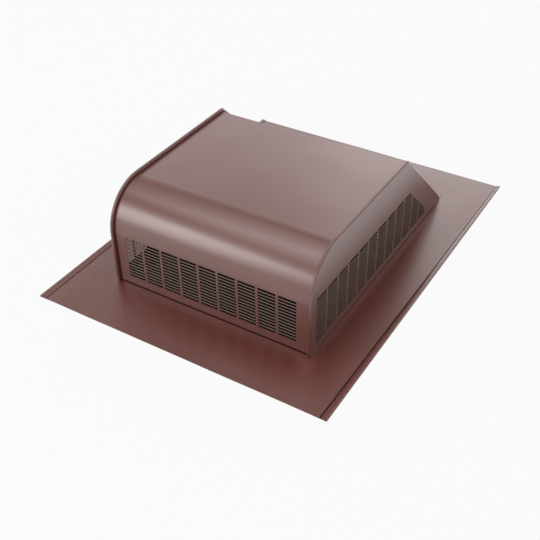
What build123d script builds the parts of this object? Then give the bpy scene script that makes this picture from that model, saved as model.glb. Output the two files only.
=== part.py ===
from build123d import *
import os
from math import radians, sin, tan

os.makedirs("parts", exist_ok=True)

# Slant-back roof vent of folded sheet metal, in millimetres.
# +Y runs up the roof, +Z is away from the roof and +X is to the right seen from the eave side.
# The origin is the middle of the flange's underside, which is also the throat's centre.

# Driving sizes of the flange and the throat
sheet = 0.6                     # thickness of the painted sheet
flange_width = 368.0            # 14 1/2 in, across the roof
flange_depth = 476.0            # 18 3/4 in, up the roof
throat_radius = 101.6           # 8 in round throat
collar_height = 16.0            # collar drawn up around the throat
collar_bend = 3.0               # the collar turns up out of the flange in two steps of 45 degrees
collar_margin = 2.0             # flat ring that is formed with the collar
hem_height = 2.2                # the open hem, over all
hem_front = 8.6                 # width of the hem's upper layer at the eave edge
hem_back = 4.9                  # and at the ridge edge, where the layer is narrower

# Driving sizes of the hood
hood_width = 254.0              # 10 in, over the side panels' outer faces
hood_front = -167.5             # where the louvred front stands
hood_top = 116.0                # height of the flat top
front_radius = 50.0             # the large curve from the front into the top
bend_line = 51.0                # where the top turns down into the slanted back
slant = radians(44)             # fall of the back below level
fold_radius = 2.0               # outer radius of the small folds
fold_relief = 0.02              # straight left between two folds that nearly meet
foot_depth = 12.0               # turned-in feet of the front and the sides
foot_front_gap = 3.0            # between the front's foot and a side's foot
foot_back_gap = 9.0             # and between a side's foot and the slanted back
back_foot = 12.5                # foot behind the slanted back

# Driving sizes of the lock seams
bead_width = 3.8                # over the folded edge
bead_height = 4.2               # above the wrapper's outer face
bead_chamfer = 1.2              # the fold turns in two steps of 45 degrees
bead_clearance = 0.8            # open gap under the folded edge
bead_foot_gap = 0.3             # and over the wrapper's back foot
lip_height = 2.2                # the wrapper's turned-up edge inside the bead
tip_radius = 4.0                # rounded lower front corner of each side panel

# Driving sizes of the louvres
bar_height = 1.2                # bar left between two slots
bar_lean = 0.4                  # each bar's lower edge is pressed out, so that rain drips off
row_count = 13
front_columns = 9
front_column_pitch = 24.5
front_slot_length = 21.6
front_row_pitch = 4.17
front_row_low = 14.0            # height of the lowest row's middle
side_columns = 12
side_column_pitch = 23.35
side_slot_length = 20.6
side_row_pitch = 4.58
side_row_low = 13.2
side_field_start = -158.2       # front end of the side louvres
side_field_margin = 23.0        # kept clear along the slanted edge

# Driving sizes of the lock tabs that hold the feet
tab_width = 14.0
tab_reach = 6.5                 # length folded over the foot
tab_window = 8.0                # opening that the tab was cut from
front_tab_pitch = 84.0
side_tab_pitch = 250.0

# Worked-out places
side_inner = hood_width / 2 - sheet
floor = sheet                   # top face of the flange, on which the hood stands
slant_foot = bend_line + (hood_top - floor) / tan(slant)
front_slot_height = front_row_pitch - bar_height
side_slot_height = side_row_pitch - bar_height


def hood_outline(gap):
    """Corners of the hood's outline in the YZ plane, a gap outside the wrapper's outer face."""
    return [
        (hood_front - gap, floor),
        (hood_front - gap, hood_top + gap),
        (bend_line + gap * tan(slant / 2), hood_top + gap),
        (slant_foot + gap / sin(slant), floor),
    ]


def hood_radii(gap):
    """Radii of the outline's two upper corners, a gap outside the wrapper's outer face."""
    return [front_radius + gap, fold_radius + gap]


def louvre_bar(length):
    """One louvre bar along X, flush with a sheet whose outer face is Y = 0 and faces -Y."""
    with BuildPart() as bar:
        with BuildSketch(Plane.YZ):
            with BuildLine():
                Polyline(
                    (0, bar_height / 2),
                    (sheet, bar_height / 2),
                    (sheet - bar_lean, -bar_height / 2),
                    (-bar_lean, -bar_height / 2),
                    close=True,
                )
            make_face()
        extrude(amount=length / 2, both=True)
    return bar.part


# Base flange: one sheet, with the collar drawn up and the two side edges folded over
with BuildPart() as base_flange:
    with BuildSketch(Plane.XZ.offset(-flange_depth / 2)) as flange_section:
        with BuildLine() as flange_line:
            hem_radius = hem_height / 2 - fold_relief
            FilletPolyline(
                (-flange_width / 2 + hem_front, hem_height),
                (-flange_width / 2, hem_height),
                (-flange_width / 2, 0),
                (flange_width / 2, 0),
                (flange_width / 2, hem_height),
                (flange_width / 2 - hem_front, hem_height),
                radius=hem_radius,
            )
            offset(amount=sheet, side=Side.LEFT)
        make_face()
    extrude(amount=flange_depth)

    # the upper layers taper towards the ridge edge
    with BuildSketch(Plane.XY.offset(2 * sheet)) as hem_taper:
        with BuildLine() as taper_line:
            Polyline(
                (flange_width / 2 - hem_front, -flange_depth / 2),
                (flange_width / 2 - hem_back, flange_depth / 2),
                (flange_width / 2 - 2 * hem_front, flange_depth / 2),
                (flange_width / 2 - 2 * hem_front, -flange_depth / 2),
                close=True,
            )
        make_face()
        mirror(about=Plane.YZ)
    extrude(amount=hem_height, mode=Mode.SUBTRACT)

    # the throat's hole, then the collar as a revolved strip of the same sheet
    collar_foot = throat_radius + sheet + collar_bend + collar_margin
    with BuildSketch(Plane.XY):
        Circle(collar_foot)
    extrude(amount=sheet, mode=Mode.SUBTRACT)
    with BuildSketch(Plane.XZ) as collar_section:
        with BuildLine() as collar_line:
            Polyline(
                (collar_foot, 0),
                (throat_radius + collar_bend, 0),
                (throat_radius, collar_bend),
                (throat_radius, collar_height),
            )
            offset(amount=sheet, side=Side.RIGHT, kind=Kind.INTERSECTION)
        make_face()
    revolve(axis=Axis.Z)

    # lock tabs, each cut from the flange and folded out over a foot
    front_foot_edge = hood_front + foot_depth
    side_foot_edge = side_inner + sheet - foot_depth
    tab_places = [
        Location((x, front_foot_edge, 0), (0, 0, 0))
        for x in (-front_tab_pitch, 0, front_tab_pitch)
    ]
    tab_places += [
        Location((side * side_foot_edge, y, 0), (0, 0, side * 90))
        for side in (-1, 1)
        for y in (-side_tab_pitch / 2, side_tab_pitch / 2)
    ]
    with Locations(*tab_places):
        Box(
            tab_width + 2 * sheet,
            tab_window,
            sheet,
            align=(Align.CENTER, Align.MIN, Align.MIN),
            mode=Mode.SUBTRACT,
        )
    with Locations(*tab_places):
        Box(tab_width, sheet, 3 * sheet, align=(Align.CENTER, Align.MIN, Align.MIN))
    with Locations(*[place * Location((0, sheet, 2 * sheet)) for place in tab_places]):
        Box(tab_width, tab_reach + sheet, sheet, align=(Align.CENTER, Align.MAX, Align.MIN))

base_flange.part.label = "base_flange"
export_step(base_flange.part, "parts/base_flange.step")


# Hood wrapper: one sheet that makes the front, the curve, the top, the slanted back and its foot
with BuildPart() as hood_wrapper:
    with BuildSketch(Plane.YZ) as wrapper_section:
        with BuildLine() as wrapper_line:
            front_corner, top_corner, bend_corner = hood_outline(0)[:3]
            FilletPolyline(
                (hood_front + foot_depth, floor),
                front_corner,
                top_corner,
                bend_corner,
                (slant_foot - sheet / tan(slant), floor + sheet),
                (slant_foot + back_foot, floor + sheet),
                radius=[fold_radius] + hood_radii(0) + [fold_radius],
            )
            offset(amount=sheet, side=Side.RIGHT)
        make_face()
    extrude(amount=side_inner, both=True)

    # edges turned up inside the lock seams
    with BuildSketch(Plane.YZ.offset(side_inner - sheet)) as lip_section:
        with BuildLine() as lip_line:
            FilletPolyline(
                (hood_front, floor + fold_radius),
                top_corner,
                bend_corner,
                (slant_foot - 2 * fold_radius / tan(slant), floor + 2 * fold_radius),
                radius=hood_radii(0),
            )
            offset(amount=lip_height, side=Side.LEFT)
        make_face()
    lip = extrude(amount=sheet)
    mirror(lip, about=Plane.YZ)

    # front louvres: nine windows, each filled with leaning bars
    front_field = (row_count - 1) * front_row_pitch + front_slot_height
    front_middle = front_row_low + (row_count - 1) * front_row_pitch / 2
    with Locations((0, hood_front + sheet / 2, front_middle)):
        with GridLocations(front_column_pitch, 1, front_columns, 1):
            Box(front_slot_length, 2 * sheet, front_field, mode=Mode.SUBTRACT)
    with Locations(Plane((0, hood_front, front_middle), x_dir=(1, 0, 0), z_dir=(0, -1, 0))):
        with GridLocations(front_column_pitch, front_row_pitch, front_columns, row_count - 1):
            add(louvre_bar(front_slot_length), rotation=(-90, 0, 0))

hood_wrapper.part.label = "hood_wrapper"
export_step(hood_wrapper.part, "parts/hood_wrapper.step")


# Side louvres: columns of windows, cut short along a line that follows the slanted back
side_field = (row_count - 1) * side_row_pitch + side_slot_height
side_low = side_row_low - side_slot_height / 2
side_high = side_low + side_field
side_middle = (side_low + side_high) / 2
side_field_middle = side_field_start + (side_columns - 1) * side_column_pitch / 2 + side_slot_length / 2


def field_end(height):
    """Where the side louvres end at a height, a margin inside the slanted edge."""
    return slant_foot - side_field_margin / sin(slant) - (height - floor) / tan(slant)


def side_windows():
    """The windows of the side louvres as one sketch on the panel's inner face."""
    with BuildSketch(Plane.YZ.offset(side_inner)) as windows:
        with Locations((side_field_middle, side_middle)):
            with GridLocations(side_column_pitch, 1, side_columns, 1):
                Rectangle(side_slot_length, side_field)
        with BuildLine():
            Polyline(
                (side_field_start, side_low),
                (field_end(side_low), side_low),
                (field_end(side_high), side_high),
                (side_field_start, side_high),
                close=True,
            )
        make_face(mode=Mode.INTERSECT)
    return windows.sketch


with BuildPart() as side_bars:
    bar_plane = Plane(
        (side_inner + sheet, side_field_middle, side_middle), x_dir=(0, 1, 0), z_dir=(1, 0, 0)
    )
    with Locations(bar_plane):
        with GridLocations(side_column_pitch, side_row_pitch, side_columns, row_count - 1):
            add(louvre_bar(side_slot_length), rotation=(-90, 0, 0))
    extrude(side_windows(), amount=sheet + 2 * bar_lean, mode=Mode.INTERSECT)


# Side panel: flat louvred sheet, its upper edge rolled over the wrapper's lip, its foot turned in
with BuildPart() as side_panel_right:
    bead_outer = side_inner + sheet
    bead_inner = bead_outer - bead_width
    bead_straight = bead_height - bead_chamfer
    with BuildSketch(Plane.YZ.offset(side_inner)) as side_outline:
        with BuildLine() as side_line:
            rim = FilletPolyline(*hood_outline(bead_straight), radius=hood_radii(bead_straight))
            Line(rim @ 1, rim @ 0)
        make_face()
    extrude(amount=sheet)

    # the rolled edge, carried along the outline
    with BuildLine(Plane.YZ) as bead_path:
        FilletPolyline(*hood_outline(0), radius=hood_radii(0))
    with BuildSketch(Plane.XY.offset(floor)) as bead_section:
        with BuildLine() as bead_line:
            Polyline(
                (bead_inner, hood_front - bead_clearance),
                (bead_inner, hood_front - bead_height + bead_chamfer),
                (bead_inner + bead_chamfer, hood_front - bead_height),
                (bead_outer - bead_chamfer, hood_front - bead_height),
                (bead_outer, hood_front - bead_height + bead_chamfer),
                (bead_outer, hood_front),
            )
            offset(amount=sheet, side=Side.LEFT, kind=Kind.INTERSECTION)
        make_face()
    sweep(path=bead_path.wires()[0])

    # the rolled edge's lower front end is rounded off
    tip_y = hood_front - bead_height
    with BuildSketch(Plane.YZ.offset(side_inner - bead_width)) as tip_section:
        with BuildLine() as tip_line:
            tip_arc = RadiusArc((tip_y, floor + tip_radius), (tip_y + tip_radius, floor), -tip_radius)
            Polyline(
                tip_arc @ 1,
                (tip_y - sheet, floor),
                (tip_y - sheet, floor + tip_radius),
                tip_arc @ 0,
            )
        make_face()
    extrude(amount=2 * bead_width, mode=Mode.SUBTRACT)

    # the rolled edge stops above the wrapper's back foot
    with Locations((side_inner, slant_foot + back_foot / 2, floor)):
        Box(
            2 * bead_width,
            2 * back_foot,
            sheet + bead_foot_gap,
            align=(Align.MAX, Align.CENTER, Align.MIN),
            mode=Mode.SUBTRACT,
        )

    # the foot, folded in to lie on the flange
    foot_start = hood_front + foot_depth + foot_front_gap
    foot_end = slant_foot - foot_depth - foot_back_gap
    with BuildSketch(Plane.XZ.offset(-foot_start)) as fold_room:
        with Locations((side_inner + sheet, floor)):
            Rectangle(2 * fold_radius, 2 * fold_radius)
    extrude(amount=foot_start - foot_end, mode=Mode.SUBTRACT)
    with BuildSketch(Plane.XZ.offset(-foot_start)) as foot_section:
        with BuildLine() as foot_line:
            FilletPolyline(
                (side_inner + sheet, floor + fold_radius),
                (side_inner + sheet, floor),
                (side_inner + sheet - foot_depth, floor),
                radius=fold_radius - fold_relief,
            )
            offset(amount=sheet, side=Side.RIGHT)
        make_face()
    extrude(amount=foot_start - foot_end)

    extrude(side_windows(), amount=sheet, mode=Mode.SUBTRACT)
    add(side_bars.part)

side_panel_right.part.label = "side_panel_right"
export_step(side_panel_right.part, "parts/side_panel_right.step")

with BuildPart() as side_panel_left:
    mirror(side_panel_right.part, about=Plane.YZ)

side_panel_left.part.label = "side_panel_left"
export_step(side_panel_left.part, "parts/side_panel_left.step")
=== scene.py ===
"""Looks of a slant-back roof vent, folded from enamelled steel sheet.

The vent is four sheets: the flange with the throat's collar, the hood's wrapper and two side panels.
Each is worked out as a surface on a grid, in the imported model's own frame, and given its thickness.
Sizes are in millimetres, and become metres where a mesh is made.
"""

from __future__ import annotations

import logging
import math
from dataclasses import dataclass, field
from enum import Enum, IntEnum

import bpy
import numpy as np
from mathutils import Matrix, Vector


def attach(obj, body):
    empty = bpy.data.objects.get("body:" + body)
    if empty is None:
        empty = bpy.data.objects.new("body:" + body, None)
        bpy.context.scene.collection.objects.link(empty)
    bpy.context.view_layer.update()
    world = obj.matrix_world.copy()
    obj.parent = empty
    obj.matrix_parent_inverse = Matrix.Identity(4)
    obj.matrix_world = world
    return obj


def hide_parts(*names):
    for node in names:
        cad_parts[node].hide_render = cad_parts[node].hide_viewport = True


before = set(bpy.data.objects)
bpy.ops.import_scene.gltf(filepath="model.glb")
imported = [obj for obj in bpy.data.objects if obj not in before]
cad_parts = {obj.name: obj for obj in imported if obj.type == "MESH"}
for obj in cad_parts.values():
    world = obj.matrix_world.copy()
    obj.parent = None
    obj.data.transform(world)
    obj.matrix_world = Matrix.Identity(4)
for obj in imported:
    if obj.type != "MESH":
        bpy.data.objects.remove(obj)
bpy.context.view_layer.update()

MM = 0.001
QUARTER = math.pi / 2
SHARP_TURN = math.radians(35)
WELD_MM = 1e-4
ON_LINE_MM = 2e-3
THIN_CELL_MM = 4e-3
# A flat sheet's slack, one row for each long wave: its share, its lengths along and across, its phase.
SLACK_WAVES = ((1.0, 151.0, 236.0, 0.15), (0.8, 97.0, -173.0, 0.4), (0.5, 263.0, 71.0, 0.8))

Tree = bpy.types.NodeTree
Socket = bpy.types.NodeSocket

log = logging.getLogger("roof_vent")


class Skin(IntEnum):
    """What covers a face: enamel; dark primer, which inside the hood is painted shade; or a cut edge, which
    on louvre bars is a painted highlight. Also its slot.
    """

    ENAMEL = 0
    PRIMER_AND_SHADE = 1
    EDGE = 2


class Hand(Enum):
    """Which side of the vent a piece stands on, as the sign of its X."""

    RIGHT = 1
    LEFT = -1


@dataclass(frozen=True)
class VentSizes:
    """Driving sizes of the vent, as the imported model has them, in millimetres."""

    sheet: float = 0.6
    flange_width: float = 368.0
    flange_depth: float = 476.0
    hem_height: float = 2.2
    hem_front: float = 8.6
    hem_back: float = 4.9
    throat_radius: float = 101.6
    collar_height: float = 16.0
    collar_bend: float = 3.0
    hood_width: float = 254.0
    hood_front: float = -167.5
    hood_top: float = 116.0
    front_radius: float = 50.0
    bend_line: float = 51.0
    slant: float = math.radians(44)
    fold_radius: float = 2.0
    foot_depth: float = 12.0
    back_foot: float = 12.5
    bead_width: float = 3.8
    bead_height: float = 4.2
    bead_clearance: float = 0.8
    lip_height: float = 2.2
    tip_radius: float = 4.0

    @property
    def floor(self) -> float:
        """Top face of the flange, on which the hood stands."""
        return self.sheet

    @property
    def side_face(self) -> float:
        """Outer face of the right-hand side panel."""
        return self.hood_width / 2

    @property
    def side_inner(self) -> float:
        """Inner face of the right-hand side panel."""
        return self.side_face - self.sheet

    @property
    def slant_foot(self) -> float:
        """Where the slanted back would meet the flange."""
        return self.bend_line + (self.hood_top - self.floor) / math.tan(self.slant)


@dataclass(frozen=True)
class LouvreField:
    """A field of louvres: columns of windows, each filled with leaning bars, in millimetres.

    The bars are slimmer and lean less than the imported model's, which are 1.2 high and lean 0.4.
    """

    columns: int
    column_pitch: float
    slot_length: float
    row_pitch: float
    row_low: float
    rows: int = 13
    bar_height: float = 1.05
    lean: float = 0.2
    ramp: float = 1.6
    bar_steps: int = 9

    @property
    def slot_height(self) -> float:
        """Height of one slot."""
        return self.row_pitch - self.bar_height

    @property
    def low(self) -> float:
        """Lower edge of the field."""
        return self.row_low - self.slot_height / 2

    @property
    def high(self) -> float:
        """Upper edge of the field."""
        return self.low + (self.rows - 1) * self.row_pitch + self.slot_height

    def row_lines(self) -> np.ndarray:
        """Heights of all slot edges: low + k pitch, and that plus the slot's height.

        Returns:
            The heights in rising order, two for each slot.
        """
        starts = self.low + np.arange(self.rows) * self.row_pitch
        return np.stack([starts, starts + self.slot_height], axis=1).ravel()

    def column_starts(self, first: float) -> np.ndarray:
        """Where each column of windows starts.

        Args:
            first: start of the first column.
        """
        return first + np.arange(self.columns) * self.column_pitch

    def column_lines(self, first: float) -> np.ndarray:
        """Stations across the columns: both ends, the ends of the twisted lengths and steps between.

        Args:
            first: start of the first column.

        Returns:
            The stations of every column in one rising array.
        """
        along = np.concatenate(
            [[0.0, self.ramp / 2], np.linspace(self.ramp, self.slot_length - self.ramp, self.bar_steps)]
        )
        along = np.append(along, [self.slot_length - self.ramp / 2, self.slot_length])
        return (self.column_starts(first)[:, None] + along[None, :]).ravel()

    def in_column(self, across: np.ndarray, first: float) -> np.ndarray:
        """Distance into a window from its nearer end, and 0 or less outside every window.

        Args:
            across: places along the field.
            first: start of the first column.
        """
        start = self.column_starts(first)
        into = across[:, None] - start[None, :]
        return np.minimum(into, start[None, :] + self.slot_length - across[:, None]).max(axis=1)

    def press(self, across: np.ndarray, height: np.ndarray, first: float) -> np.ndarray:
        """How far the sheet is pressed out at each point of the field.

        A bar's lower edge stands out by the lean and its upper edge stands in by a third of it. Both fade
        with a smooth step, t t (3 - 2 t), over the short twisted length at each end of the bar.

        Args:
            across: places along the field, one for each column of the grid.
            height: heights of the grid's points, in the grid's own shape.
            first: start of the first column.

        Returns:
            The outward shift in millimetres, in the grid's shape.
        """
        lines = self.row_lines()
        shares = np.zeros(len(lines))
        shares[1:-1:2] = 1.0
        shares[2:-1:2] = -1.0 / 3.0
        nearest = np.abs(height[..., None] - lines).argmin(axis=-1)
        on_line = np.abs(height - lines[nearest]) < ON_LINE_MM
        share = np.where(on_line, shares[nearest], 0.0)
        return self.lean * share * fade_in(self.in_column(across, first), self.ramp)[:, None]

    def cells(self, across: np.ndarray, height: np.ndarray, first: float) -> tuple[np.ndarray, np.ndarray]:
        """Which cells of the grid are open slots, and which are bars.

        A cell whose middle is less than a slot's height above some slot's lower edge is open, and any
        other one in a column is on a bar.

        Args:
            across: stations along the field.
            height: heights of the grid's points, stations first.
            first: start of the first column.

        Returns:
            True for each cell that is cut out, never one with no height left, and True for each bar's cell.
        """
        open_column = self.in_column((across[1:] + across[:-1]) / 2, first) > 0
        level = (height[:-1, 1:] + height[:-1, :-1] + height[1:, 1:] + height[1:, :-1]) / 4
        inside = open_column[:, None] & (level > self.low) & (level < self.high)
        phase = np.mod(level - self.low, self.row_pitch)
        rise = height[:, 1:] - height[:, :-1]
        tall = np.maximum(rise[:-1], rise[1:]) > THIN_CELL_MM
        return inside & (phase < self.slot_height) & tall, inside & (phase > self.slot_height)


@dataclass(frozen=True)
class FoldedPath:
    """A line of straight runs and round bends, as a strip of sheet is folded.

    Each piece is a length L with a turn T, and the heading grows evenly from H to H + T along it. A point d
    along a bend is the start plus L / T (sin h - sin H, cos H - cos h) with h = H + T d / L, and d along a
    run it is the start plus d (cos H, sin H). The normal is the heading turned a quarter to the left.
    """

    start: tuple[float, float]
    heading: float
    pieces: tuple[tuple[float, float], ...]

    def joints(self) -> tuple[np.ndarray, np.ndarray, np.ndarray]:
        """Distance, heading and place at the start of each piece, and at the end of the last."""
        lengths = np.array([piece[0] for piece in self.pieces])
        turns = np.array([piece[1] for piece in self.pieces])
        distance = np.concatenate([[0.0], np.cumsum(lengths)])
        heading = self.heading + np.concatenate([[0.0], np.cumsum(turns)])
        steps = self.steps(lengths, lengths, turns, heading[:-1])
        place = np.array(self.start) + np.concatenate([np.zeros((1, 2)), np.cumsum(steps, axis=0)])
        return distance, heading, place

    @staticmethod
    def steps(d: np.ndarray, lengths: np.ndarray, turns: np.ndarray, heading: np.ndarray) -> np.ndarray:
        """The step from the start of a piece to a point on it, by the class's formula.

        Args:
            d: distances along the pieces.
            lengths: the pieces' lengths.
            turns: the pieces' turns.
            heading: the headings at the pieces' starts.

        Returns:
            One step of two numbers for each distance.
        """
        curved = turns != 0
        safe = np.where(curved, turns, 1.0)
        h = heading + turns * d / lengths
        bend = np.stack([np.sin(h) - np.sin(heading), np.cos(heading) - np.cos(h)], axis=-1)
        bend *= (lengths / safe)[..., None]
        run = np.stack([np.cos(heading), np.sin(heading)], axis=-1) * d[..., None]
        return np.where(curved[..., None], bend, run)

    def at(self, s: np.ndarray) -> tuple[np.ndarray, np.ndarray]:
        """Points and left normals at distances along the path.

        Args:
            s: distances from the start.

        Returns:
            The points and the unit normals, each with two numbers in the last axis.
        """
        distance, heading, place = self.joints()
        index = np.clip(np.searchsorted(distance, s, side="right") - 1, 0, len(self.pieces) - 1)
        lengths = np.array([piece[0] for piece in self.pieces])[index]
        turns = np.array([piece[1] for piece in self.pieces])[index]
        d = s - distance[index]
        point = place[index] + self.steps(d, lengths, turns, heading[index])
        h = heading[index] + turns * d / lengths
        return point, np.stack([-np.sin(h), np.cos(h)], axis=-1)

    def stations(self, run_step: float, bend_step: float, guard: float = 0.35) -> np.ndarray:
        """Distances at which the path is cut: even steps on each piece, and a guard beside each bend.

        Args:
            run_step: the longest step on a straight run, in millimetres.
            bend_step: the longest step on a bend, in radians.
            guard: how far from a bend's ends a run gets one more station.
        """
        distance = self.joints()[0]
        cuts = [distance]
        for start, (length, turn) in zip(distance, self.pieces):
            count = math.ceil(abs(turn) / bend_step) if turn else math.ceil(length / run_step)
            cuts.append(start + length * np.linspace(0, 1, max(count, 1) + 1))
            if not turn and length > 3 * guard:
                cuts.append(np.array([start + guard, start + length - guard]))
        return spaced(np.concatenate(cuts))


def spaced(values: np.ndarray, gap: float = 1e-3) -> np.ndarray:
    """Sorts stations and drops each one that follows the last closer than the gap."""
    ordered = np.sort(values)
    return ordered[np.append(True, np.diff(ordered) > gap)]


def run(length: float) -> tuple[float, float]:
    """A straight piece of a folded path."""
    return length, 0.0


def bend(radius: float, turn: float) -> tuple[float, float]:
    """A round piece of a folded path, turning left where the turn is positive."""
    return radius * abs(turn), turn


@dataclass
class SheetMesh:
    """Gathers grids of sheet, each with its thickness, and welds them into one closed mesh."""

    thickness: float
    points: list[np.ndarray] = field(default_factory=list)
    quads: list[np.ndarray] = field(default_factory=list)
    skins: list[np.ndarray] = field(default_factory=list)
    count: int = 0

    def add(
        self,
        face: np.ndarray,
        normal: np.ndarray,
        keep: np.ndarray | None = None,
        face_skin: Skin | np.ndarray = Skin.ENAMEL,
        back_skin: Skin | np.ndarray = Skin.PRIMER_AND_SHADE,
    ) -> None:
        """Adds a sheet by its face; its back is the face less the thickness along the normal.

        The face points along the first axis crossed with the second. Each cell that is kept makes one quad
        on the face and one on the back, and each border between a kept cell and none makes an edge wall.

        Args:
            face: grid of points, (m, n, 3), on the outer side.
            normal: the sheet's outward direction at each point, or one that stretches to them all.
            keep: which of the (m - 1, n - 1) cells are there, or None for all.
            face_skin: what covers the face, as one skin or one for each cell.
            back_skin: what covers the other side, in the same form.
        """
        m, n = face.shape[:2]
        kept = np.ones((m - 1, n - 1), bool) if keep is None else keep
        ids = self.count + np.arange(m * n).reshape(m, n)
        a, b, c, d = ids[:-1, :-1], ids[1:, :-1], ids[1:, 1:], ids[:-1, 1:]
        cells = np.stack([a, b, c, d], axis=-1)
        self.put(cells[kept], np.broadcast_to(face_skin, kept.shape)[kept])
        self.put(cells[kept][:, ::-1] + m * n, np.broadcast_to(back_skin, kept.shape)[kept])
        rim = np.pad(kept, 1).astype(int)
        along = rim[1:-1, 1:] - rim[1:-1, :-1]
        across = rim[:-1, 1:-1] - rim[1:, 1:-1]
        for border, low, high in ((along, ids[:-1], ids[1:]), (across, ids[:, :-1], ids[:, 1:])):
            for start, end in ((low[border > 0], high[border > 0]), (high[border < 0], low[border < 0])):
                self.put(np.stack([end, start, start + m * n, end + m * n], axis=-1), Skin.EDGE)
        self.points += [face.reshape(-1, 3), (face - self.thickness * normal).reshape(-1, 3)]
        self.count += 2 * m * n

    def put(self, quads: np.ndarray, skin: Skin | np.ndarray) -> None:
        """Adds quads of one skin, or with a skin for each."""
        self.quads.append(quads)
        self.skins.append(np.broadcast_to(np.asarray(skin, int), len(quads)))

    def build(self, name: str, hand: Hand = Hand.RIGHT) -> bpy.types.Object:
        """Welds what was gathered and makes the object.

        Points in the same cell of a fine lattice become one. A wall that two grids share is then there
        twice, and both go, so that the sheet runs through. A quad that has lost a corner becomes a triangle.

        Args:
            name: the object's name.
            hand: LEFT mirrors the mesh in X and turns its faces round.

        Returns:
            The new object, at the origin.
        """
        points = np.concatenate(self.points)
        quads, skins = np.concatenate(self.quads), np.concatenate(self.skins)
        lattice = np.round(points / WELD_MM).astype(np.int64)
        _, first, merged = np.unique(lattice, axis=0, return_index=True, return_inverse=True)
        points, quads = points[first] * MM, merged.ravel()[quads]
        _, group, size = np.unique(np.sort(quads, axis=1), axis=0, return_inverse=True, return_counts=True)
        single = size[group.ravel()] == 1
        quads, skins = quads[single], skins[single]
        if hand is Hand.LEFT:
            points, quads = points * np.array([-1.0, 1.0, 1.0]), quads[:, ::-1]
        used, quads = np.unique(quads, return_inverse=True)
        points, quads = points[used], quads.reshape(-1, 4)
        repeat = quads == np.roll(quads, -1, axis=1)
        corners = 4 - repeat.sum(axis=1)
        whole, cut = corners == 4, corners == 3
        triangles = quads[cut][~repeat[cut]].reshape(-1, 3)
        mesh = bpy.data.meshes.new(name)
        mesh.from_pydata(points.tolist(), [], quads[whole].tolist() + triangles.tolist())
        mesh.polygons.foreach_set("material_index", np.concatenate([skins[whole], skins[cut]]))
        mesh.polygons.foreach_set("use_smooth", np.ones(len(mesh.polygons), bool))
        mesh.validate()
        mesh.set_sharp_from_angle(angle=SHARP_TURN)
        return placed(name, mesh)


def waves(u: np.ndarray, v: np.ndarray, height: float) -> np.ndarray:
    """Slack of a flat sheet, which never lies quite flat: a sum of three long cosines, from 0 to the height.

    Args:
        u: places along the sheet, in millimetres.
        v: places across it.
        height: the largest rise, in millimetres.

    Returns:
        The rise at each point.
    """
    total = sum(share * np.cos(2 * math.pi * (u / a + v / b + phase)) for share, a, b, phase in SLACK_WAVES)
    return height * (0.5 + total / (2 * sum(row[0] for row in SLACK_WAVES)))


def fade_in(distance: np.ndarray, length: float) -> np.ndarray:
    """A smooth step, t t (3 - 2 t), from 0 at no distance to 1 at the length."""
    t = np.clip(distance / length, 0.0, 1.0)
    return t * t * (3 - 2 * t)


def node(tree: Tree, kind: str, settings: dict, links: dict) -> bpy.types.Node:
    """Adds one node with its settings and links.

    Args:
        tree: the node tree.
        kind: the node's type name.
        settings: values by property name, or by the socket's name or number.
        links: output sockets by the name or number of the input that they feed.

    Returns:
        The new node.
    """
    made = tree.nodes.new(kind)
    for name, value in settings.items():
        if isinstance(name, str) and hasattr(made, name):
            setattr(made, name, value)
        else:
            made.inputs[name].default_value = value
    for name, source in links.items():
        tree.links.new(source, made.inputs[name])
    return made


def linear(colour: str) -> tuple[float, float, float, float]:
    """Turns an sRGB hex colour to linear: c / 12.92 up to 0.04045, and ((c + 0.055) / 1.055) ** 2.4 above."""
    parts = [int(colour[k : k + 2], 16) / 255 for k in (1, 3, 5)]
    red, green, blue = [c / 12.92 if c <= 0.04045 else ((c + 0.055) / 1.055) ** 2.4 for c in parts]
    return red, green, blue, 1.0


def cleared(owner: bpy.types.Material | bpy.types.World) -> Tree:
    """The node tree of a material or a world, emptied."""
    owner.use_nodes = True
    owner.node_tree.nodes.clear()
    return owner.node_tree


def placed(name: str, data: bpy.types.ID) -> bpy.types.Object:
    """A new object in the scene, at the origin."""
    made = bpy.data.objects.new(name, data)
    bpy.context.scene.collection.objects.link(made)
    return made


@dataclass(frozen=True)
class Finish:
    """What the finishes share: a base colour that drifts between two tones on Object coordinates.

    The colour is deep + noise (colour - deep), with noise of a real size in millimetres.
    """

    name: str
    colour: str
    deep: str
    roughness: float
    drift_mm: float
    drift_detail: float
    drift_roughness: float
    metallic: float = 0.0
    specular: float = 0.5

    def make(self) -> bpy.types.Material:
        """Builds the material."""
        material = bpy.data.materials.new(self.name)
        tree = cleared(material)
        place = node(tree, "ShaderNodeTexCoord", {}, {}).outputs["Object"]
        noise = {
            "Scale": 1 / (self.drift_mm * MM),
            "Detail": self.drift_detail,
            "Roughness": self.drift_roughness,
        }
        drift = node(tree, "ShaderNodeTexNoise", noise, {"Vector": place}).outputs["Fac"]
        tones = {"data_type": "RGBA", 6: linear(self.deep), 7: linear(self.colour)}
        tint = node(tree, "ShaderNodeMix", tones, {"Factor": drift}).outputs[2]
        even = {"Roughness": self.roughness, "Metallic": self.metallic, "Specular IOR Level": self.specular}
        more, links = self.surface(tree, place, drift)
        shader = node(tree, "ShaderNodeBsdfPrincipled", even | more, {"Base Color": tint} | links)
        node(tree, "ShaderNodeOutputMaterial", {}, {"Surface": shader.outputs["BSDF"]})
        return material

    def surface(self, tree: Tree, place: Socket, drift: Socket) -> tuple[dict, dict]:
        """What a finish adds to the shader: nothing, unless it has a method of its own.

        Args:
            tree: the material's nodes.
            place: Object coordinates.
            drift: the noise of the colour.

        Returns:
            More settings and more links for the shader.
        """
        return {}, {}


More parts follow.
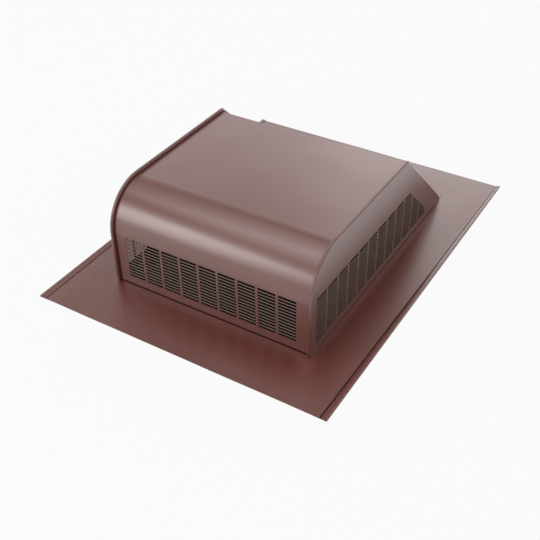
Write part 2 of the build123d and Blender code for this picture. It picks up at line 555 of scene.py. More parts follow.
@dataclass(frozen=True)
class BakedEnamel(Finish):
    """Polyester enamel, sprayed on the assembled vent and baked: satin brown with a faint orange peel.

    The eye sees a smooth soft gloss. The gloss wavers a little where the coating flowed out unevenly, and
    the colour drifts so slightly that it only keeps the sheet from looking printed.
    """

    name: str = "baked_polyester_enamel"
    colour: str = "#642D21"
    deep: str = "#602A1E"
    roughness: float = 0.36
    drift_mm: float = 90.0
    drift_detail: float = 3.0
    drift_roughness: float = 0.5
    gloss_drift: float = 0.02
    peel_mm: float = 2.6
    peel_depth_mm: float = 0.003
    peel_detail: float = 1.0
    peel_roughness: float = 0.4
    peel_strength: float = 0.6
    noise_span: tuple[float, float] = (0.3, 0.7)
    ior: float = 1.7
    coat: float = 1.0
    coat_roughness: float = 0.28
    coat_ior: float = 1.55

    def surface(self, tree: Tree, place: Socket, drift: Socket) -> tuple[dict, dict]:
        """Adds the clear coat, the wavering gloss and the orange peel, by the arguments of Finish.surface."""
        fine = {
            "Scale": 1 / (self.peel_mm * MM),
            "Detail": self.peel_detail,
            "Roughness": self.peel_roughness,
        }
        peel = node(tree, "ShaderNodeTexNoise", fine, {"Vector": place}).outputs["Fac"]
        depth = {"Strength": self.peel_strength, "Distance": self.peel_depth_mm * MM}
        relief = node(tree, "ShaderNodeBump", depth, {"Height": peel})
        spread = {
            "From Min": self.noise_span[0],
            "From Max": self.noise_span[1],
            "To Min": self.roughness - self.gloss_drift,
            "To Max": self.roughness + self.gloss_drift,
        }
        gloss = node(tree, "ShaderNodeMapRange", spread, {"Value": drift})
        coat = {
            "IOR": self.ior,
            "Coat Weight": self.coat,
            "Coat Roughness": self.coat_roughness,
            "Coat IOR": self.coat_ior,
        }
        return coat, {"Roughness": gloss.outputs["Result"], "Normal": relief.outputs["Normal"]}


@dataclass(frozen=True)
class PrimerAndPaintedShade(Finish):
    """Dark epoxy primer, rolled on the coil; its near-black inside the vent is painted shade.

    It makes the hood's inside, the flange under the hood and the flange's underside a flat, slightly dusty
    near-black brown: painted shade, so that the gaps between the louvres look dark. On the right hem it
    paints a shadow line.
    """

    name: str = "dark_primer_and_painted_shade"
    colour: str = "#1F1613"
    deep: str = "#17100E"
    roughness: float = 0.8
    drift_mm: float = 14.0
    drift_detail: float = 5.0
    drift_roughness: float = 0.6
    specular: float = 0.15


@dataclass(frozen=True)
class EdgeAndBarHighlight(Finish):
    """Sheared edge of zinc-coated steel, which the enamel covers thinly and not everywhere.

    Along every cut the eye catches a thin, slightly greyer line. The louvre bars' narrow faces have this
    finish too, as a painted highlight: duller, lighter and greyer than the enamel, it stands in for the
    light that the bars catch.
    """

    name: str = "sheared_edge_and_painted_bar_highlight"
    colour: str = "#836E66"
    deep: str = "#593F37"
    roughness: float = 0.42
    drift_mm: float = 0.9
    drift_detail: float = 2.0
    drift_roughness: float = 0.6
    metallic: float = 0.2


@dataclass
class SheetFinish:
    """The three skins of an enamelled sheet, in the order of the skins' slots."""

    skins: tuple[bpy.types.Material, ...]

    @classmethod
    def make(cls) -> SheetFinish:
        """Builds the three materials."""
        return cls((BakedEnamel().make(), PrimerAndPaintedShade().make(), EdgeAndBarHighlight().make()))

    def dress(self, piece: bpy.types.Object, slot: str, *nodes: str) -> None:
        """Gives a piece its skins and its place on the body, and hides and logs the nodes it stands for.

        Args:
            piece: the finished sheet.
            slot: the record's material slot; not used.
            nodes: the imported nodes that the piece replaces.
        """
        for skin in self.skins:
            piece.data.materials.append(skin)
        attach(piece, "root")
        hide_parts(*nodes)
        log.info("%s: %d faces, stands for %s", piece.name, len(piece.data.polygons), ", ".join(nodes))


def grid(x: np.ndarray, y: np.ndarray, z: np.ndarray) -> np.ndarray:
    """A grid of points, or of directions, from arrays of X, Y and Z that stretch to one shape."""
    return np.stack(np.broadcast_arrays(x, y, z), axis=-1)


@dataclass
class HoodWrapper:
    """The hood's one long sheet: front foot, louvred front, curve, top, slanted back and back foot."""

    sizes: VentSizes
    louvres: LouvreField = LouvreField(
        columns=9, column_pitch=24.5, slot_length=21.6, row_pitch=4.17, row_low=14.0
    )
    lip_bend: float = 0.4
    slack: float = 0.22
    seam_fade: float = 45.0
    fold_fade: float = 40.0
    run_step: float = 12.0
    bend_step: float = math.radians(5)

    def section(self) -> FoldedPath:
        """The outer face's outline in the YZ plane, from the front foot's hidden end to the back foot's."""
        v = self.sizes
        half = v.fold_radius * math.tan(v.slant / 2)
        fall = (v.hood_top - v.floor - v.sheet) / math.sin(v.slant)
        back_end = v.back_foot + v.sheet / math.tan(v.slant)
        return FoldedPath(
            start=(v.hood_front + v.foot_depth, v.floor),
            heading=math.pi,
            pieces=(
                run(v.foot_depth - v.fold_radius),
                bend(v.fold_radius, -QUARTER),
                run(v.hood_top - v.front_radius - v.floor - v.fold_radius),
                bend(v.front_radius, -QUARTER),
                run(v.bend_line - half - v.hood_front - v.front_radius),
                bend(v.fold_radius, -v.slant),
                run(fall - 2 * half),
                bend(v.fold_radius, v.slant),
                run(back_end - half),
            ),
        )

    def crossing(self) -> FoldedPath:
        """The outer face across the hood, in X and outwards: a lip up, the flat, and a lip up again."""
        v = self.sizes
        reach = v.side_inner - v.sheet
        return FoldedPath(
            start=(-reach, v.lip_height),
            heading=-QUARTER,
            pieces=(
                run(v.lip_height - self.lip_bend),
                bend(self.lip_bend, QUARTER),
                run(2 * (reach - self.lip_bend)),
                bend(self.lip_bend, QUARTER),
                run(v.lip_height - self.lip_bend),
            ),
        )

    def build(self) -> bpy.types.Object:
        """Carries the crossing along the section: point = section(s) + outward(s) rise(w), at x(w).

        Returns:
            The wrapper, with its louvres cut and pressed.
        """
        v, field_ = self.sizes, self.louvres
        section, crossing = self.section(), self.crossing()
        joints, ends = section.joints()[0], crossing.joints()[0]
        first = -(field_.columns - 1) * field_.column_pitch / 2 - field_.slot_length / 2
        rows = joints[2] + field_.row_lines() - v.floor - v.fold_radius
        columns = ends[2] + field_.column_lines(first) + v.side_inner - v.sheet - self.lip_bend
        s = spaced(np.append(section.stations(self.run_step, self.bend_step), rows))
        w = spaced(np.append(crossing.stations(self.run_step, QUARTER / 4), columns))
        outline, outward = section.at(s)
        across, turn = crossing.at(w)
        on_front = (s > joints[2]) & (s < joints[3])
        height = np.where(on_front, s - joints[2] + v.floor + v.fold_radius, -v.hood_top)
        height = np.broadcast_to(height, (len(w), len(s)))
        rise = across[:, 1:] + field_.press(across[:, 0], height, first)
        rise = rise + self.slackness(s, across[:, 0], joints)
        way_y, way_z = outward.T
        face = grid(across[:, :1], outline[:, 0] + rise * way_y, outline[:, 1] + rise * way_z)
        normal = grid(turn[:, :1], turn[:, 1:] * way_y, turn[:, 1:] * way_z)
        slots, bars = field_.cells(across[:, 0], height, first)
        flat = (w[1:] > ends[2]) & (w[:-1] < ends[3])
        seamed = (s[1:] > joints[2] + v.fold_radius) & (s[:-1] < joints[7] - v.fold_radius)
        keep = ~slots & (flat[:, None] | seamed[None, :])
        # The bars get the cut edge's lighter, greyer tone: a painted highlight along the louvre bars.
        skin = np.where(bars, Skin.EDGE, Skin.ENAMEL)
        sheet = SheetMesh(v.sheet)
        # The back keeps the dark primer: painted shade inside the hood.
        sheet.add(face, normal, keep, skin)
        return sheet.build("hood_cover_sheet")

    def slackness(self, s: np.ndarray, x: np.ndarray, joints: np.ndarray) -> np.ndarray:
        """The slack of the top and of the slanted back, dying out at the folds and the seams."""
        top, back = (np.minimum(s - joints[k], joints[k + 1] - s) for k in (4, 6))
        ends = fade_in(np.where(s < joints[5], top, back), self.fold_fade)[None, :]
        sides = fade_in(self.sizes.side_inner - np.abs(x), self.seam_fade)[:, None]
        return waves(x[:, None], s[None, :], self.slack) * sides * ends

    def dress(self, piece: bpy.types.Object, finish: SheetFinish) -> None:
        """Gives the wrapper its skins and its place."""
        finish.dress(piece, "hood", "hood_wrapper")


@dataclass
class SidePanel:
    """A side panel: a flat louvred sheet, its edge rolled over the wrapper's lip and its foot turned in."""

    sizes: VentSizes
    hand: Hand
    louvres: LouvreField = LouvreField(
        columns=12, column_pitch=23.35, slot_length=20.6, row_pitch=4.58, row_low=13.2
    )
    field_start: float = -158.2
    field_margin: float = 23.0
    rim: float = 1.5
    slack: float = 0.16
    slack_inset: float = 3.0
    slack_fade: float = 14.0
    upper_shares: tuple[float, ...] = (0.12, 0.3, 0.5, 0.7, 0.88, 1.0)
    outline_steps: int = 6000
    foot_levels: tuple[float, ...] = (0.0, 0.6, 1.2, 2.0, 3.0, 4.2, 6.0, 8.5)
    foot_inset: float = 15.0
    foot_end_inset: float = 21.0
    bead_end: float = 1.5
    least_roll: float = 0.08
    roll_cuts: tuple[float, float, float] = (1.0, math.radians(15), 0.2)
    run_step: float = 9.0
    bend_step: float = math.radians(5)

    def outline(self) -> FoldedPath:
        """The panel's outline in the YZ plane, from its front foot over the top to its back corner."""
        v = self.sizes
        half = v.fold_radius * math.tan(v.slant / 2)
        return FoldedPath(
            start=(v.hood_front, v.floor),
            heading=QUARTER,
            pieces=(
                run(v.hood_top - v.front_radius - v.floor),
                bend(v.front_radius, -QUARTER),
                run(v.bend_line - half - v.hood_front - v.front_radius),
                bend(v.fold_radius, -v.slant),
                run((v.hood_top - v.floor) / math.sin(v.slant) - half),
            ),
        )

    @property
    def field_end(self) -> float:
        """Where the line that ends the louvres would meet the flange."""
        return self.sizes.slant_foot - self.field_margin / math.sin(self.sizes.slant)

    def field_limit(self, y: np.ndarray) -> np.ndarray:
        """Height of the line that ends the louvres: parallel to the slanted edge, a margin inside it."""
        return self.sizes.floor + (self.field_end - y) * math.tan(self.sizes.slant)

    def grid(self) -> tuple[np.ndarray, np.ndarray, np.ndarray, np.ndarray]:
        """The panel's flat grid: columns at fixed Y, rows at fixed Z but never above the field's cap.

        The cap is the lower of the field's limit and the outline less a rim. Rows over the field share out
        what is left between the cap and the outline, z = cap + t (top - cap).

        Returns:
            Y of the columns, Y and Z of all points, and the outward normals along the top row.
        """
        v, field_ = self.sizes, self.louvres
        outline = self.outline()
        joints = outline.joints()[0]
        cuts = outline.stations(self.run_step, self.bend_step)
        cuts = cuts[cuts >= joints[1]]
        lines = field_.row_lines()
        crossings = self.field_end - (lines - v.floor) / math.tan(v.slant)
        feet = [v.hood_front + self.foot_inset, v.slant_foot - self.foot_end_inset]
        columns = field_.column_lines(self.field_start)
        y = np.concatenate([outline.at(cuts)[0][:, 0], columns, crossings, feet])
        y = spaced(y[(y >= v.hood_front) & (y <= v.slant_foot)])
        even = np.linspace(joints[1], joints[-1], self.outline_steps)
        fine = np.unique(np.append(even, joints[1:]))
        place = outline.at(fine)[0]
        top, outward = outline.at(np.interp(y, place[:, 0], fine))
        cap = np.minimum(np.maximum(self.field_limit(y), field_.low), top[:, 1] - self.rim)
        cap = np.maximum(cap, v.floor)
        foot = v.floor + np.array(self.foot_levels)
        levels = np.minimum(np.append(foot, lines)[None, :], cap[:, None])
        upper = cap[:, None] + np.array(self.upper_shares) * (top[:, 1] - cap)[:, None]
        z = np.concatenate([levels, upper], axis=1)
        spread = np.broadcast_to(y[:, None], z.shape).copy()
        spread[:, -1] = top[:, 0]
        return y, spread, z, outward

    def build(self) -> bpy.types.Object:
        """Makes the flat with its louvres, the rolled edge and the foot, and welds them.

        Returns:
            The panel, mirrored where its hand is the left.
        """
        v, field_ = self.sizes, self.louvres
        y, spread, z, outward = self.grid()
        limit = self.field_limit(y)[:, None]
        above = z - limit.clip(field_.low, field_.high) - self.slack_inset
        blank = fade_in(above, self.slack_fade) * fade_in(z[:, -1:] - z, self.slack_fade)
        x = v.side_face + field_.press(y, z, self.field_start) * fade_in(limit - z, field_.ramp)
        x = x + waves(spread, z, self.slack) * blank
        face = np.stack([x, spread, z], axis=-1)
        rows = len(self.foot_levels) + 2 * field_.rows
        slots, bars = field_.cells(y, z[:, :rows], self.field_start)
        keep = np.ones((len(y) - 1, z.shape[1] - 1), bool)
        keep[:, : rows - 1] = ~slots
        folded = (y[1:] > v.hood_front + self.foot_inset) & (y[1:] <= v.slant_foot - self.foot_end_inset)
        fold_row = int((z[0] <= v.floor + v.fold_radius + WELD_MM).sum()) - 1
        keep[folded, :fold_row] = False
        skin = np.full(keep.shape, int(Skin.ENAMEL))
        # The bars get the cut edge's lighter, greyer tone: a painted highlight along the louvre bars.
        skin[:, : rows - 1][bars] = Skin.EDGE
        sheet = SheetMesh(v.sheet)
        # The back keeps the dark primer: painted shade inside the hood.
        sheet.add(face, np.array([1.0, 0.0, 0.0]), keep, skin)
        self.add_foot(sheet, np.append(y[:-1][folded], y[1:][folded][-1]))
        self.add_rolled_edge(sheet, spread, z, outward)
        side = self.hand.name.lower()
        return sheet.build(f"louvred_side_sheet_{side}", self.hand)

    def add_foot(self, sheet: SheetMesh, y: np.ndarray) -> None:
        """The foot: the folded path down and in, carried along Y."""
        v = self.sizes
        path = FoldedPath(
            start=(v.side_face, v.floor + v.fold_radius),
            heading=-QUARTER,
            pieces=(bend(v.fold_radius, -QUARTER), run(v.foot_depth - v.fold_radius)),
        )
        points, normals = path.at(path.stations(self.run_step, self.bend_step * 2))
        sheet.add(grid(points[:, :1], y, points[:, 1:]), grid(normals[:, :1], 0.0, normals[:, 1:]))

    def add_rolled_edge(self, sheet: SheetMesh, y: np.ndarray, z: np.ndarray, outward: np.ndarray) -> None:
        """The rolled edge: out along the outline's normal, round over the lip and back down to a small gap.

        The roll shrinks towards the front foot so that its end is round: its height there is
        H - r + sqrt(r r - (r - d) (r - d)), with d the height above the flange and r the tip's radius.

        Args:
            sheet: what the edge is added to.
            y: Y of the panel's points.
            z: Z of the panel's points.
            outward: outward normals of the top row.
        """
        v = self.sizes
        column = np.unique(z[0])
        top = z[1:, -1] >= v.floor + self.bead_end
        front = np.stack([np.full(len(column), v.hood_front), column], axis=-1)
        rim = np.concatenate([front, np.stack([y[1:, -1], z[1:, -1]], axis=-1)[top]])
        out = np.concatenate([np.tile([-1.0, 0.0], (len(column), 1)), outward[1:][top]])
        radius = v.bead_width / 2
        path = FoldedPath(
            start=(v.side_face, 0.0),
            heading=QUARTER,
            pieces=(
                run(v.bead_height - radius),
                bend(radius, math.pi),
                run(v.bead_height - radius - v.bead_clearance),
            ),
        )
        points, normals = path.at(path.stations(*self.roll_cuts))
        depth = np.clip(v.tip_radius - (rim[:, 1] - v.floor), 0, v.tip_radius)
        tip = v.bead_height - v.tip_radius + np.sqrt(v.tip_radius**2 - depth**2)
        share = np.maximum(tip / v.bead_height, self.least_roll)
        share[len(column) :] = 1.0
        rise, fall = share[:, None] * points[:, 1], share[:, None] * -normals[:, 1]
        way_y, way_z = out[:, :1], out[:, 1:]
        face = grid(points[:, 0], rim[:, :1] + rise * way_y, rim[:, 1:] + rise * way_z)
        sheet.add(face, grid(-normals[:, 0], fall * way_y, fall * way_z))

    def dress(self, piece: bpy.types.Object, finish: SheetFinish) -> None:
        """Gives the panel its skins and its place."""
        finish.dress(piece, "side_panel", f"side_panel_{self.hand.name.lower()}")


@dataclass
class FlangeSheet:
    """The flange: one sheet with open hems on both sides, the throat's collar and the lock tabs."""

    sizes: VentSizes
    square: float = 112.0
    eighth_steps: int = 16
    grid_step: float = 11.0
    slack: float = 0.35
    hood_fade: float = 30.0
    hem_fade: float = 22.0
    hem_inset: float = 2.0
    ring_steps: int = 5
    collar_flat: float = 2.0
    joint: float = 0.5
    hem_press: float = 0.85
    leaf_shares: tuple[float, ...] = (0.2, 0.4, 0.6, 0.79, 1.0)
    collar_cuts: tuple[float, float] = (4.0, math.radians(9))
    hem_cuts: tuple[float, float] = (1.0, math.radians(15))
    tab_cuts: tuple[float, float] = (3.0, math.radians(22.5))
    tab_width: float = 14.0
    tab_reach: float = 6.5
    tab_window: float = 8.0
    front_tab_pitch: float = 84.0
    side_tab_pitch: float = 250.0

    def tab_places(self) -> list[tuple[float, float, float, float]]:
        """Each tab's foot edge and the way its window opens: x, y and the direction's two parts."""
        v = self.sizes
        front = v.hood_front + v.foot_depth
        side = v.side_face - v.foot_depth
        places = [(x, front, 0.0, 1.0) for x in (-self.front_tab_pitch, 0.0, self.front_tab_pitch)]
        for sign in (-1.0, 1.0):
            for y in (-self.side_tab_pitch / 2, self.side_tab_pitch / 2):
                places.append((sign * side, y, -sign, 0.0))
        return places

    def tab_windows(self) -> np.ndarray:
        """Low and high corners of the openings that the tabs were cut from, as rows of four numbers."""
        half = self.tab_width / 2 + self.sizes.sheet
        rows = []
        for x, y, dx, dy in self.tab_places():
            ends_x = sorted((x - half * abs(dy), x + half * abs(dy) + self.tab_window * dx))
            ends_y = sorted((y - half * abs(dx), y + half * abs(dx) + self.tab_window * dy))
            rows.append((ends_x[0], ends_y[0], ends_x[1], ends_y[1]))
        return np.array(rows)

    def build(self) -> bpy.types.Object:
        """Makes the flat, the ring around the throat with its collar, the hems and the tabs, and welds them.

        Returns:
            The flange.
        """
        v = self.sizes
        hem_radius = v.hem_height / 2
        half_width, half_depth = v.flange_width / 2 - hem_radius, v.flange_depth / 2
        windows = self.tab_windows()
        inner = self.inner_lines(windows)
        x = self.lines(half_width, inner, windows[:, [0, 2]])
        front_joint = v.hood_front - self.joint
        y = self.lines(half_depth, inner, np.append(windows[:, [1, 3]], front_joint))
        face = grid(x[:, None], y, v.sheet + self.slackness(x[:, None], y[None, :]))
        middle_x, middle_y = (x[1:] + x[:-1])[:, None] / 2, (y[1:] + y[:-1])[None, :] / 2
        keep = np.maximum(np.abs(middle_x), np.abs(middle_y)) > self.square
        for low_x, low_y, high_x, high_y in windows:
            inside_x = (middle_x > low_x) & (middle_x < high_x)
            keep &= ~(inside_x & (middle_y > low_y) & (middle_y < high_y))
        # Painted shade: the flange's cells under the hood get the dark primer.
        shade_under_hood = (middle_y > front_joint) & (middle_y < v.slant_foot) & (np.abs(middle_x) < v.side_inner)
        sheet = SheetMesh(v.sheet)
        skin = np.where(shade_under_hood, Skin.PRIMER_AND_SHADE, Skin.ENAMEL)
        sheet.add(face, np.array([0.0, 0.0, 1.0]), keep, skin)
        self.add_throat(sheet, inner)
        self.add_hems(sheet, half_width, y)
        for place in self.tab_places():
            self.add_tab(sheet, *place)
        return sheet.build("flange_sheet")

    def inner_lines(self, windows: np.ndarray) -> np.ndarray:
        """Grid lines inside the square, the same both ways: the square's half side times the tan of even
        angles, and the tab windows' edges that fall inside it.

        Args:
            windows: the tab windows' corners.
        """
        even = self.square * np.tan(np.linspace(-math.pi / 4, math.pi / 4, 2 * self.eighth_steps + 1))
        edges = windows[np.abs(windows) < self.square]
        return spaced(np.concatenate([even, edges, -edges]))

    def lines(self, half: float, inner: np.ndarray, cuts: np.ndarray) -> np.ndarray:
        """Grid lines one way: the inner lines, even steps from the square to the edge, and the windows'.

        Args:
            half: half the flat's length this way.
            inner: the lines inside the square.
            cuts: the tab windows' edges this way.
        """
        outer = np.linspace(self.square, half, math.ceil((half - self.square) / self.grid_step) + 1)
        outside = cuts[np.abs(cuts) > self.square]
        return spaced(np.concatenate([inner, outer, -outer, outside]))

    def slackness(self, x: np.ndarray, y: np.ndarray) -> np.ndarray:
        """The flat's slack around the hood, dying out at the hood's foot and at the hems."""
        v = self.sizes
        beside = np.abs(x) - v.side_face - v.bead_height
        ahead = np.maximum(v.hood_front - 2 * v.bead_height - y, y - v.slant_foot - v.back_foot)
        hem = v.flange_width / 2 - np.abs(x) - self.hem_inset
        away = fade_in(np.maximum(beside, ahead), self.hood_fade) * fade_in(hem, self.hem_fade)
        return waves(x, y, self.slack) * away

    def add_throat(self, sheet: SheetMesh, inner: np.ndarray) -> None:
        """The ring from the square to the collar, and the collar.

        A point of the ring is square(a) + t (circle(a) - square(a)), with the square's point at angle a
        being (cos a, sin a) times its half side over the larger of |cos a| and |sin a|.

        Args:
            sheet: what the ring is added to.
            inner: the flat's lines inside the square, from which the angles are taken.
        """
        v = self.sizes
        foot = v.throat_radius + v.collar_bend
        path = FoldedPath(
            start=(foot + self.collar_flat, v.sheet),
            heading=math.pi,
            pieces=(
                run(self.collar_flat),
                bend(v.collar_bend - v.sheet, -QUARTER),
                run(v.collar_height - v.collar_bend),
            ),
        )
        points, normals = path.at(path.stations(*self.collar_cuts))
        eighth = np.arctan(inner / self.square)
        angle = np.concatenate([eighth[:-1] + k * QUARTER for k in range(4)] + [eighth[:1] + 4 * QUARTER])
        way = np.stack([np.cos(angle), np.sin(angle)], axis=-1)
        reach = self.square / np.abs(way).max(axis=1)
        t = np.arange(self.ring_steps) / self.ring_steps
        ring = reach[:, None] + t * (points[0, 0] - reach)[:, None]
        radius = np.concatenate([ring, np.tile(points[:, 0], (len(way), 1))], axis=1)
        level = np.append(np.full(len(t), v.sheet), points[:, 1])
        lean = np.append(np.zeros(len(t)), -normals[:, 0])
        up = np.append(np.ones(len(t)), -normals[:, 1])
        way_x, way_y = way[:, :1], way[:, 1:]
        face = grid(radius * way_x, radius * way_y, level)
        # The ring and the collar stand inside the hood, and their dark primer face is painted shade.
        sheet.add(face, grid(lean * way_x, lean * way_y, up), face_skin=Skin.PRIMER_AND_SHADE)

    def add_hems(self, sheet: SheetMesh, start: float, y: np.ndarray) -> None:
        """Both hems: half a turn up and back over the flat, then a leaf that narrows towards the back.

        The leaf's free edge is pressed down on the flat: a share t of the way along it, it has come down by
        the press times t squared. The right leaf's last strip has the dark primer as a painted shadow, the
        dark line that runs along that leaf, and the left leaf is enamelled to its edge.

        Args:
            sheet: what the hems are added to.
            start: where the flat ends and the half turn starts.
            y: the flat's stations along the edge.
        """
        v = self.sizes
        turn = v.hem_height / 2 - v.sheet
        path = FoldedPath(start=(start, v.sheet), heading=0.0, pieces=(bend(turn, math.pi),))
        points, normals = path.at(path.stations(*self.hem_cuts))
        along = (y - y[0]) / (y[-1] - y[0])
        width = v.hem_front + along * (v.hem_back - v.hem_front) - v.hem_height / 2
        t = np.array(self.leaf_shares)
        x = np.concatenate([np.tile(points[:, :1], len(y)), points[-1, 0] - t[:, None] * width])
        z = np.append(points[:, 1], points[-1, 1] - self.hem_press * t**2)
        leaf = np.tile([0.0, -1.0], (len(t), 1))
        out, up = np.concatenate([normals, leaf]).T[:, :, None]
        face, normal = grid(x, y, z[:, None]), grid(out, 0.0, up)
        skin = np.full((len(z) - 1, len(y) - 1), int(Skin.ENAMEL))
        # Painted shadow: the right leaf's last strip is dark, as the line along its free edge.
        skin[-1] = Skin.PRIMER_AND_SHADE
        sheet.add(face, normal, back_skin=skin)
        mirror = np.array([-1.0, 1.0, 1.0])
        face, normal = face.transpose(1, 0, 2) * mirror, normal.transpose(1, 0, 2) * mirror
        sheet.add(face, normal, back_skin=Skin.ENAMEL)

    def add_tab(self, sheet: SheetMesh, x: float, y: float, dx: float, dy: float) -> None:
        """One lock tab: half a turn up out of its window, and a run back over the foot."""
        v = self.sizes
        path = FoldedPath(
            start=(0.0, v.sheet),
            heading=0.0,
            pieces=(bend(v.sheet / 2, math.pi), run(self.tab_reach)),
        )
        points, normals = path.at(path.stations(*self.tab_cuts))
        side = np.array([-0.5, 0.5]) * self.tab_width
        reach, rise = points[:, :1], points[:, 1:]
        face = grid(x + reach * dx - side * dy, y + reach * dy + side * dx, rise)
        sheet.add(face, grid(normals[:, :1] * dx, normals[:, :1] * dy, normals[:, 1:]))

    def dress(self, piece: bpy.types.Object, finish: SheetFinish) -> None:
        """Gives the flange its skins and its place."""
        finish.dress(piece, "flange", "base_flange")


@dataclass(frozen=True)
class SoftBox:
    """A rectangular lamp that faces the vent. Its glow is its brightness, where 1 is white."""

    name: str
    azimuth: float
    elevation: float
    glow: float
    height: float
    width: float = 0.8
    distance: float = 2.2

    def build(self, aim: Vector) -> None:
        """Makes the lamp. Its power is glow x pi x area, which gives it that brightness.

        Args:
            aim: the point that it faces, in metres.
        """
        a, e = math.radians(self.azimuth), math.radians(self.elevation)
        way = Vector((math.sin(a) * math.cos(e), -math.cos(a) * math.cos(e), math.sin(e)))
        lamp = bpy.data.lights.new(self.name, "AREA")
        lamp.shape = "RECTANGLE"
        lamp.size, lamp.size_y = self.width, self.height
        lamp.energy = self.glow * math.pi * self.width * self.height
        turn = way.to_track_quat("Z", "Y").to_matrix().to_4x4()
        placed(self.name, lamp).matrix_world = Matrix.Translation(aim + way * self.distance) @ turn


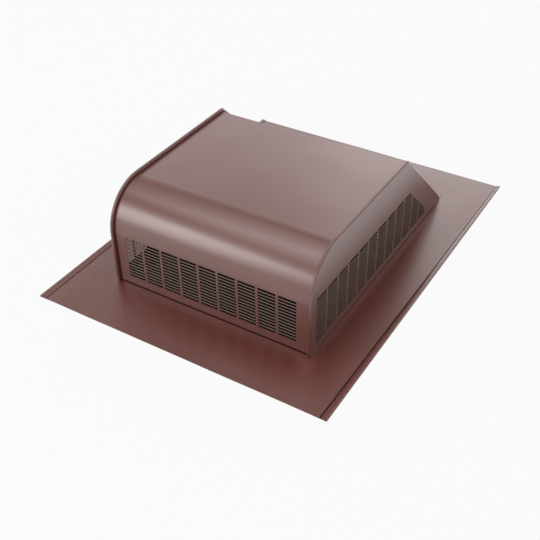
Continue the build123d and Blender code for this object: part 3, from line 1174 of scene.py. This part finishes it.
@dataclass(frozen=True)
class Studio:
    """A plain white table in a room, soft boxes and the camera.

    The room's brightness goes by height, as (sine of the elevation, brightness) pairs, where 1 is white:
    a bright band low on the walls, a dark band above it and a pale ceiling.
    """

    camera_place: tuple[float, float, float] = (440.2, -745.5, 629.6)
    camera_aim: tuple[float, float, float] = (41.5, -108.4, 40.0)
    camera_roll: float = math.radians(0.97)
    lens_mm: float = 58.3
    sensor_mm: float = 36.0
    table_size: float = 12.0
    board: str = "#B4B4B4"
    table_glow: float = 0.92
    # The deck is a patch of painted shade under the hood, in the dark colour below.
    deck_half_width: float = 124.0
    deck_front: float = -164.0
    deck_back: float = 166.0
    deck_lift: float = 0.003
    shade_patch_colour: str = "#0E0C0B"
    brightest: float = 2.0
    room: tuple[tuple[float, float], ...] = (
        (0.30, 0.4),
        (0.36, 1.85),
        (0.48, 1.85),
        (0.56, 0.2),
        (0.76, 0.2),
        (0.86, 1.35),
    )
    lamp_aim: tuple[float, float, float] = (0.0, 0.0, 60.0)
    boxes: tuple[SoftBox, ...] = (
        SoftBox("front_left_box", azimuth=-34, elevation=18, glow=3.2, height=1.1, width=0.9),
        SoftBox("high_front_left_box", azimuth=-34, elevation=46, glow=0.5, height=0.8),
        SoftBox("front_box", azimuth=0, elevation=25, glow=0.9, height=1.4),
        SoftBox("back_box", azimuth=-165, elevation=27, glow=0.9, height=1.3),
        SoftBox("overhead_box", azimuth=-60, elevation=68, glow=1.0, height=1.4),
    )

    def build(self) -> None:
        """Makes the table, the patch of painted shade under the hood, the room, the lamps and the camera."""
        self.build_table()
        self.build_shade_patch()
        self.build_room()
        for box in self.boxes:
            box.build(Vector(self.lamp_aim) * MM)
        self.build_camera()

    @staticmethod
    def lay(name: str, half: float, ends: tuple[float, float], level: float) -> bpy.types.Object:
        """Lays a level rectangle.

        Args:
            name: the object's name.
            half: half its width, in metres.
            ends: Y of its front and of its back, in metres.
            level: its height, in metres.

        Returns:
            The rectangle, with no material yet.
        """
        front, back = ends
        corners = [(-half, front, level), (half, front, level), (half, back, level), (-half, back, level)]
        mesh = bpy.data.meshes.new(name)
        mesh.from_pydata(corners, [], [(0, 1, 2, 3)])
        return placed(name, mesh)

    def build_table(self) -> None:
        """A white table top. Seen directly or mirrored it glows nearly white, and it keeps the shadow."""
        half = self.table_size / 2
        table = self.lay("table_top", half, (-half, half), 0.0)
        board = bpy.data.materials.new("matt_white_board")
        tree = cleared(board)
        seen = {"operation": "MULTIPLY", 1: self.table_glow}
        share = node(tree, "ShaderNodeMath", seen, {0: self.seen(tree)}).outputs[0]
        matt = node(tree, "ShaderNodeBsdfDiffuse", {"Color": linear(self.board)}, {}).outputs[0]
        glow = node(tree, "ShaderNodeEmission", {"Strength": 1.0}, {}).outputs[0]
        mixed = node(tree, "ShaderNodeMixShader", {}, {0: share, 1: matt, 2: glow})
        node(tree, "ShaderNodeOutputMaterial", {}, {"Surface": mixed.outputs[0]})
        table.data.materials.append(board)

    def build_shade_patch(self) -> None:
        """A patch of painted shade under the hood: a dark rectangle a hair above the board, so that the
        throat and the slots show dark.
        """
        ends = (self.deck_front * MM, self.deck_back * MM)
        shade_patch = self.lay("painted_shade_patch", self.deck_half_width * MM, ends, self.deck_lift * MM)
        shade_paint = bpy.data.materials.new("painted_shade_under_hood")
        tree = cleared(shade_paint)
        dark = node(tree, "ShaderNodeBsdfDiffuse", {"Color": linear(self.shade_patch_colour)}, {})
        node(tree, "ShaderNodeOutputMaterial", {}, {"Surface": dark.outputs[0]})
        shade_patch.data.materials.append(shade_paint)

    @staticmethod
    def seen(tree: Tree) -> Socket:
        """1 for rays that see the surroundings directly, mirrored or through glass, and 0 for the others."""
        path = node(tree, "ShaderNodeLightPath", {}, {})
        seen = path.outputs["Is Camera Ray"]
        for ray in ("Is Glossy Ray", "Is Transmission Ray"):
            either = {0: seen, 1: path.outputs[ray]}
            seen = node(tree, "ShaderNodeMath", {"operation": "MAXIMUM"}, either).outputs[0]
        return seen

    def build_room(self) -> None:
        """The room, by its brightness at each height. The camera sees it white all over."""
        world = bpy.data.worlds.new("pale_room")
        bpy.context.scene.world = world
        tree = cleared(world)
        way = node(tree, "ShaderNodeTexCoord", {}, {}).outputs["Generated"]
        parts = node(tree, "ShaderNodeSeparateXYZ", {}, {"Vector": way})
        ramp = node(tree, "ShaderNodeValToRGB", {}, {"Fac": parts.outputs["Z"]})
        stops = ramp.color_ramp.elements
        while len(stops) < len(self.room):
            stops.new(1.0)
        for stop, (level, brightness) in zip(stops, self.room):
            share = brightness / self.brightest
            stop.position = level
            stop.color = (share, share, share, 1)
        path = node(tree, "ShaderNodeLightPath", {}, {})
        white = 1 / self.brightest
        rays = {"Factor": path.outputs["Is Camera Ray"], 6: ramp.outputs["Color"]}
        room = node(tree, "ShaderNodeMix", {"data_type": "RGBA", 7: (white, white, white, 1)}, rays)
        light = node(tree, "ShaderNodeBackground", {"Strength": self.brightest}, {"Color": room.outputs[2]})
        node(tree, "ShaderNodeOutputWorld", {}, {"Surface": light.outputs[0]})

    def build_camera(self) -> None:
        """The camera: it looks from its place at its aim, and is rolled about its own axis."""
        place, aim = Vector(self.camera_place) * MM, Vector(self.camera_aim) * MM
        forward = (aim - place).normalized()
        level = forward.cross(Vector((0, 0, 1))).normalized()
        down = forward.cross(level)
        right = level * math.cos(self.camera_roll) + down * math.sin(self.camera_roll)
        up = right.cross(forward)
        turn = Matrix((right, up, -forward)).transposed().to_4x4()
        camera = bpy.data.cameras.new("camera")
        camera.lens = self.lens_mm
        camera.sensor_width = self.sensor_mm
        bpy.context.scene.camera = placed("camera", camera)
        bpy.context.scene.camera.matrix_world = Matrix.Translation(place) @ turn


def main() -> None:
    """Builds the studio and the vent's four sheets, in order."""
    logging.basicConfig(level=logging.INFO, format="%(name)s: %(message)s")
    bpy.context.scene.view_settings.view_transform = "Standard"
    Studio().build()
    finish = SheetFinish.make()
    sizes = VentSizes()
    parts = [FlangeSheet(sizes), HoodWrapper(sizes)] + [SidePanel(sizes, hand) for hand in Hand]
    for part in parts:
        piece = part.build()
        part.dress(piece, finish)


if __name__ == "__main__":
    main()
